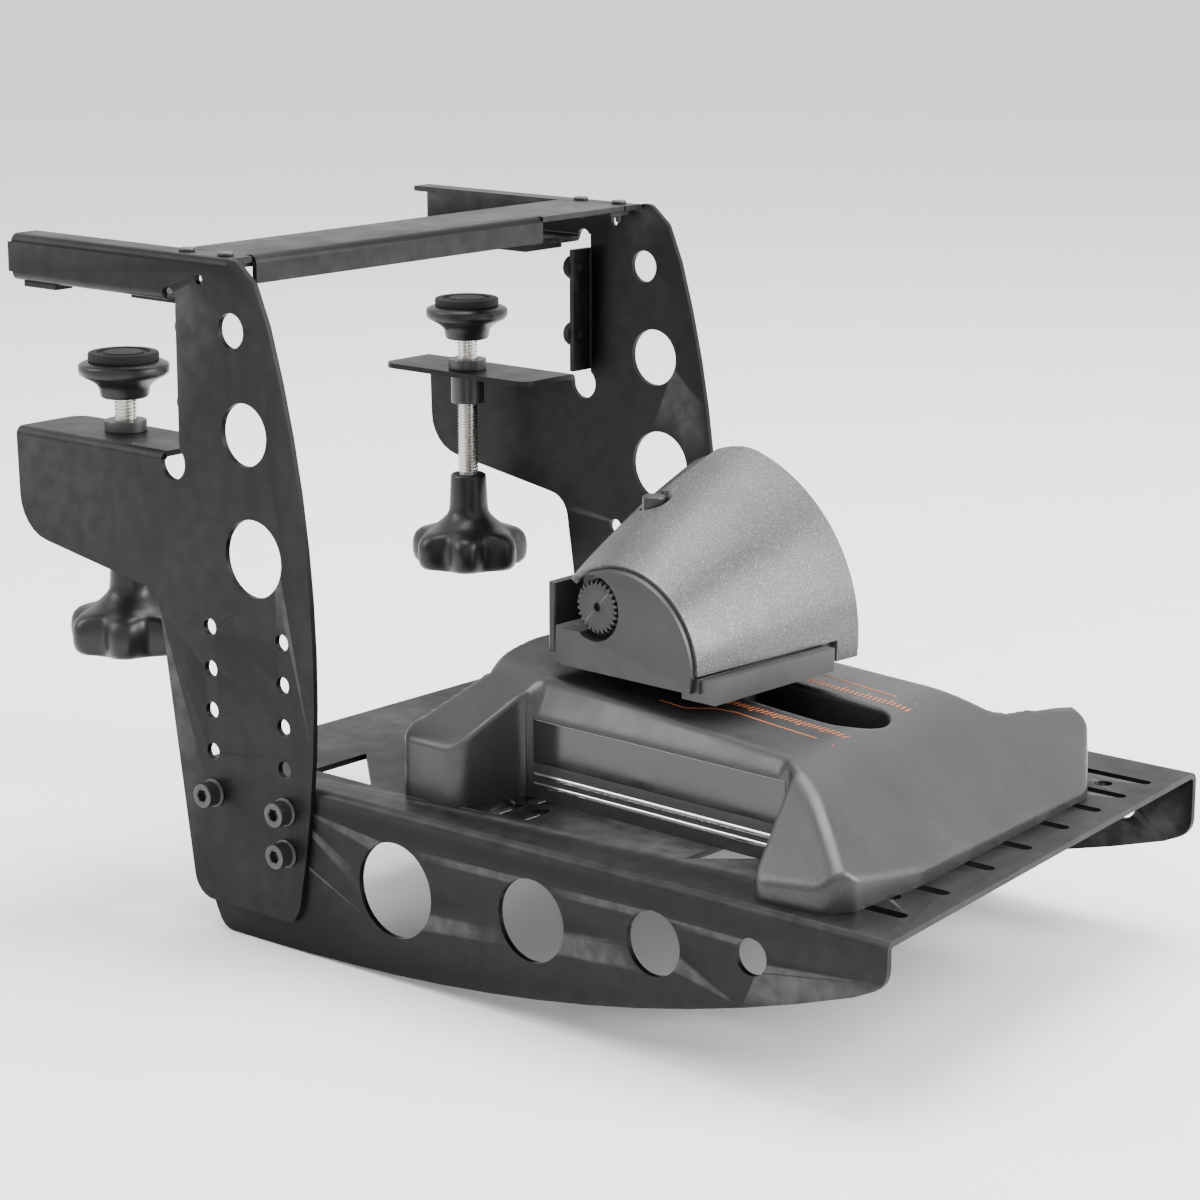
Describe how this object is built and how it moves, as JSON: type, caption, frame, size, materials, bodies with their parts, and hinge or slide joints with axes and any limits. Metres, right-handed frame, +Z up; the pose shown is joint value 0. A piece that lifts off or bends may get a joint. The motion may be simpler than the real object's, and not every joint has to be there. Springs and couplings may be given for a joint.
{
  "type": "desk-clamp throttle stand",
  "caption": "Bent-sheet bracket that clamps under a desk edge and carries a sliding flight throttle on a slotted, re-boltable tray.",
  "frame": {"origin": "middle of the desk edge line: where the desk-top plane under the arm pads meets the plane of the desk-edge bumpers, midway between the uprights", "axes": "+Z up, +X away from the desk towards the user, +Y towards the user's right"},
  "size_m": [0.3817, 0.228, 0.2362],
  "materials": {
    "powder_coat": "semi-gloss black powder coat on bent sheet steel",
    "black_oxide": "black-oxide steel fasteners and bushes",
    "zinc": "zinc-plated steel",
    "knob_plastic": "satin black moulded plastic",
    "rubber": "matt black rubber",
    "base_plastic": "fine-textured charcoal plastic",
    "gloss_panel": "glossy black inlay",
    "trim_chrome": "bright trim strips",
    "inner_plastic": "black plastic",
    "bronze": "sintered bronze bushes",
    "board_green": "coated circuit board",
    "shell_metallic": "grey metallic paint with fine sparkle",
    "grip_plastic": "satin dark-grey plastic",
    "dial_grey": "dark-grey moulded dial"
  },
  "bodies": {
    "bracket": {"left_upright": "powder_coat", "right_upright": "powder_coat", "top_bridge": "powder_coat", "bridge_screws": "black_oxide", "platform_tray": "powder_coat", "tray_bolts": "black_oxide", "tray_nuts": "zinc", "edge_bumpers": "rubber", "arm_pads": "rubber", "clamp_bushes": "black_oxide", "base_top_shell": "base_plastic", "base_bottom_plate": "base_plastic", "waist_panels": "gloss_panel", "trim_strips": "trim_chrome", "base_screws": "zinc", "guide_rods": "zinc", "rod_blocks": "inner_plastic", "main_board": "board_green", "position_sensor": "inner_plastic", "pedal_socket": "inner_plastic", "cable_gland": "rubber"},
    "left_foot": {"left_clamp_cup": "knob_plastic", "left_clamp_pad": "rubber"},
    "left_spindle": {"left_clamp_screw": "zinc", "left_clamp_knob": "knob_plastic"},
    "right_foot": {"right_clamp_cup": "knob_plastic", "right_clamp_pad": "rubber"},
    "right_spindle": {"right_clamp_screw": "zinc", "right_clamp_knob": "knob_plastic"},
    "tension_knob": {"tension_screw": "base_plastic"},
    "slider": {"carriage": "inner_plastic", "rod_bushes": "bronze", "friction_pad": "inner_plastic", "grip_neck": "inner_plastic", "grip_body": "grip_plastic", "palm_shell": "shell_metallic", "end_plate": "grip_plastic", "dial_encoder": "inner_plastic", "paddle_pin": "zinc", "grip_board": "board_green", "grip_screws": "zinc"},
    "dial_wheel": {"dial": "dial_grey"},
    "paddle": {"rudder_paddle": "grip_plastic"},
    "stick_ring": {"stick_gimbal": "zinc"},
    "stick": {"stick_cap": "rubber"},
    "hat_ring": {"hat_gimbal": "zinc"},
    "hat": {"hat_cap": "grip_plastic"},
    "upper_key": {"upper_button": "grip_plastic"},
    "lower_key": {"lower_button": "grip_plastic"},
    "finger_key": {"finger_button": "grip_plastic"},
    "rocker": {"thumb_rocker": "grip_plastic"},
    "ridge_key": {"ridge_button": "grip_plastic"}
  },
  "joints": [
    {"name": "left_foot_slide", "type": "slide", "parent": "bracket", "child": "left_foot", "axis": [0, 0, 1], "range_m": [-0.0065, 0.016]},
    {"name": "left_spindle_turn", "type": "hinge", "parent": "left_foot", "child": "left_spindle", "pos_m": [-0.0438, -0.0887, -0.06], "axis": [0, 0, 1], "range_deg": [-1878, 4614]},
    {"name": "right_foot_slide", "type": "slide", "parent": "bracket", "child": "right_foot", "axis": [0, 0, 1], "range_m": [-0.0065, 0.016]},
    {"name": "right_spindle_turn", "type": "hinge", "parent": "right_foot", "child": "right_spindle", "pos_m": [-0.0438, 0.0887, -0.06], "axis": [0, 0, 1], "range_deg": [-1878, 4614]},
    {"name": "throttle_slide", "type": "slide", "parent": "bracket", "child": "slider", "axis": [0.9994, -0.0349, 0], "range_m": [-0.04, 0.05]},
    {"name": "tension_turn", "type": "hinge", "parent": "bracket", "child": "tension_knob", "pos_m": [0.09176, -0.00942, -0.1403], "axis": [-0.9994, 0.0349, 0], "range_deg": [-360, 360]},
    {"name": "dial_turn", "type": "hinge", "parent": "slider", "child": "dial_wheel", "pos_m": [0.14641, -0.04886, -0.0908], "axis": [-0.0349, -0.9994, 0], "range_deg": [-150, 150]},
    {"name": "paddle_rock", "type": "hinge", "parent": "slider", "child": "paddle", "pos_m": [0.1264, -0.02014, -0.0993], "axis": [0, 0, 1], "range_deg": [-12, 12], "stiffness_Nm_per_rad": 0.15},
    {"name": "stick_pitch", "type": "hinge", "parent": "slider", "child": "stick_ring", "pos_m": [0.15073, 0.01753, -0.0823], "axis": [0.9994, -0.0349, 0], "range_deg": [-12, 12], "stiffness_Nm_per_rad": 0.02},
    {"name": "stick_yaw", "type": "hinge", "parent": "stick_ring", "child": "stick", "pos_m": [0.15073, 0.01753, -0.0823], "axis": [0, 0, 1], "range_deg": [-12, 12], "stiffness_Nm_per_rad": 0.02},
    {"name": "hat_pitch", "type": "hinge", "parent": "slider", "child": "hat_ring", "pos_m": [0.15473, 0.0174, -0.0633], "axis": [0.9994, -0.0349, 0], "range_deg": [-12, 12], "stiffness_Nm_per_rad": 0.02},
    {"name": "hat_yaw", "type": "hinge", "parent": "hat_ring", "child": "hat", "pos_m": [0.15473, 0.0174, -0.0633], "axis": [0, 0, 1], "range_deg": [-12, 12], "stiffness_Nm_per_rad": 0.02},
    {"name": "upper_press", "type": "slide", "parent": "slider", "child": "upper_key", "axis": [-0.0349, -0.9994, 0], "range_m": [0, 0.0015], "stiffness_N_per_m": 300},
    {"name": "lower_press", "type": "slide", "parent": "slider", "child": "lower_key", "axis": [-0.0349, -0.9994, 0], "range_m": [0, 0.0015], "stiffness_N_per_m": 300},
    {"name": "finger_press", "type": "slide", "parent": "slider", "child": "finger_key", "axis": [0.9994, -0.0349, 0], "range_m": [0, 0.0015], "stiffness_N_per_m": 300},
    {"name": "ridge_press", "type": "slide", "parent": "slider", "child": "ridge_key", "axis": [0, 0, -1], "range_m": [0, 0.0015], "stiffness_N_per_m": 300},
    {"name": "rocker_tilt", "type": "hinge", "parent": "slider", "child": "rocker", "pos_m": [0.14475, 0.01824, -0.0993], "axis": [0.9994, -0.0349, 0], "range_deg": [-8, 8], "stiffness_Nm_per_rad": 0.02}
  ],
  "couplings": [
    {"joint": "left_spindle_turn", "follows": "left_foot_slide", "rad_per_m": 5026.5},
    {"joint": "right_spindle_turn", "follows": "right_foot_slide", "rad_per_m": 5026.5}
  ]
}
